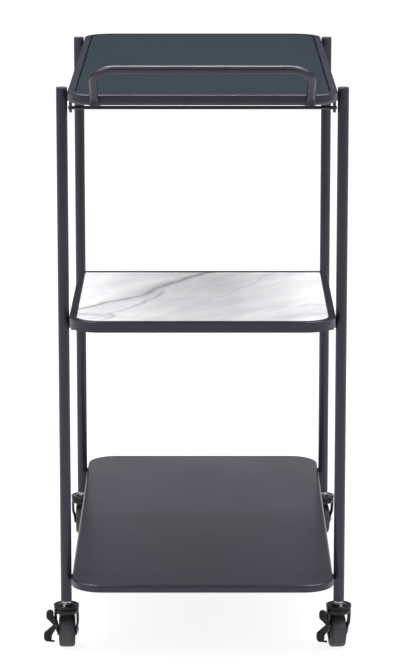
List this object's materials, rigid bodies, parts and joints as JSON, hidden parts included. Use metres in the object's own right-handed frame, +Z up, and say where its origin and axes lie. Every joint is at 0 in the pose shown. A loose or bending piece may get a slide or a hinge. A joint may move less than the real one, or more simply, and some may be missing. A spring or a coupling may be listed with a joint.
{
  "type": "bar cart",
  "caption": "Narrow rolling bar cart: round-tube legs, glass-topped tray, half-length marble middle shelf, full-length bottom shelf, push handle and braked swivel casters.",
  "frame": {"origin": "on the floor, midway between the four legs", "axes": "+Z up, -Y towards the push handle's end, +X to the right when facing +Y from the handle end"},
  "size_m": [0.4476, 0.8166, 0.872],
  "materials": {
    "satin_black_coat": "satin charcoal-black powder coat",
    "cap_plastic": "moulded, fine matt",
    "socket_plastic": "glass-filled nylon, plain",
    "dark_glass": "dark tinted, polished",
    "clear_pad": "clear soft bumper",
    "black_pad": "plain",
    "white_marble": "honed, grey veins",
    "black_screw": "black oxide, oiled",
    "zinc_plate": "bright zinc plate",
    "bearing_steel": "polished ball steel",
    "caster_black": "gloss black",
    "hub_plastic": "moulded nylon",
    "tyre_rubber": "satin grey-black tread",
    "lever_plastic": "semi-gloss moulded"
  },
  "bodies": {
    "frame": {"leg_front_left": "satin_black_coat", "leg_front_right": "satin_black_coat", "leg_rear_left": "satin_black_coat", "leg_rear_right": "satin_black_coat", "leg_caps": "cap_plastic", "stem_sockets": "socket_plastic", "top_tray": "satin_black_coat", "top_glass": "dark_glass", "glass_pads": "clear_pad", "handle": "satin_black_coat", "tray_brackets": "satin_black_coat", "cross_rod": "satin_black_coat", "middle_frame": "satin_black_coat", "marble_slab": "white_marble", "slab_pads": "black_pad", "slab_straps": "satin_black_coat", "middle_brackets": "satin_black_coat", "bottom_shelf": "satin_black_coat", "shelf_spacers": "satin_black_coat", "shelf_screws": "black_screw", "leg_inserts": "zinc_plate", "caster_stems": "zinc_plate", "stem_nuts": "zinc_plate", "bearing_caps": "caster_black"},
    "swivel_front_left": {"fork_front_left": "caster_black", "bearing_balls_front_left": "bearing_steel", "axle_bolt_front_left": "zinc_plate", "axle_nut_front_left": "zinc_plate", "brake_pin_front_left": "black_screw"},
    "wheel_front_left": {"wheel_hub_front_left": "hub_plastic", "tyre_front_left": "tyre_rubber"},
    "brake_front_left": {"brake_lever_front_left": "lever_plastic"},
    "swivel_front_right": {"fork_front_right": "caster_black", "bearing_balls_front_right": "bearing_steel", "axle_bolt_front_right": "zinc_plate", "axle_nut_front_right": "zinc_plate", "brake_pin_front_right": "black_screw"},
    "wheel_front_right": {"wheel_hub_front_right": "hub_plastic", "tyre_front_right": "tyre_rubber"},
    "brake_front_right": {"brake_lever_front_right": "lever_plastic"},
    "swivel_rear_left": {"fork_rear_left": "caster_black", "bearing_balls_rear_left": "bearing_steel", "axle_bolt_rear_left": "zinc_plate", "axle_nut_rear_left": "zinc_plate"},
    "wheel_rear_left": {"wheel_hub_rear_left": "hub_plastic", "tyre_rear_left": "tyre_rubber"},
    "swivel_rear_right": {"fork_rear_right": "caster_black", "bearing_balls_rear_right": "bearing_steel", "axle_bolt_rear_right": "zinc_plate", "axle_nut_rear_right": "zinc_plate"},
    "wheel_rear_right": {"wheel_hub_rear_right": "hub_plastic", "tyre_rear_right": "tyre_rubber"}
  },
  "joints": [
    {"name": "caster_swivel_front_left", "type": "hinge", "parent": "frame", "child": "swivel_front_left", "pos_m": [-0.198, -0.3075, 0.0643], "axis": [0, 0, 1], "continuous": true},
    {"name": "wheel_spin_front_left", "type": "hinge", "parent": "swivel_front_left", "child": "wheel_front_left", "pos_m": [-0.198, -0.2895, 0.025], "axis": [1, 0, 0], "continuous": true},
    {"name": "brake_rock_front_left", "type": "hinge", "parent": "swivel_front_left", "child": "brake_front_left", "pos_m": [-0.2131, -0.3136, 0.0395], "axis": [0, -1, 0], "range_deg": [0, 10]},
    {"name": "caster_swivel_front_right", "type": "hinge", "parent": "frame", "child": "swivel_front_right", "pos_m": [0.198, -0.3075, 0.0643], "axis": [0, 0, 1], "continuous": true},
    {"name": "wheel_spin_front_right", "type": "hinge", "parent": "swivel_front_right", "child": "wheel_front_right", "pos_m": [0.19643, -0.28957, 0.025], "axis": [0.9962, 0.0872, 0], "continuous": true},
    {"name": "brake_rock_front_right", "type": "hinge", "parent": "swivel_front_right", "child": "brake_front_right", "pos_m": [0.18349, -0.31489, 0.0395], "axis": [0.0872, -0.9962, 0], "range_deg": [0, 10]},
    {"name": "caster_swivel_rear_left", "type": "hinge", "parent": "frame", "child": "swivel_rear_left", "pos_m": [-0.198, 0.3075, 0.0643], "axis": [0, 0, 1], "continuous": true},
    {"name": "wheel_spin_rear_left", "type": "hinge", "parent": "swivel_rear_left", "child": "wheel_rear_left", "pos_m": [-0.198, 0.3255, 0.025], "axis": [1, 0, 0], "continuous": true},
    {"name": "caster_swivel_rear_right", "type": "hinge", "parent": "frame", "child": "swivel_rear_right", "pos_m": [0.198, 0.3075, 0.0643], "axis": [0, 0, 1], "continuous": true},
    {"name": "wheel_spin_rear_right", "type": "hinge", "parent": "swivel_rear_right", "child": "wheel_rear_right", "pos_m": [0.19643, 0.32543, 0.025], "axis": [0.9962, 0.0872, 0], "continuous": true}
  ]
}
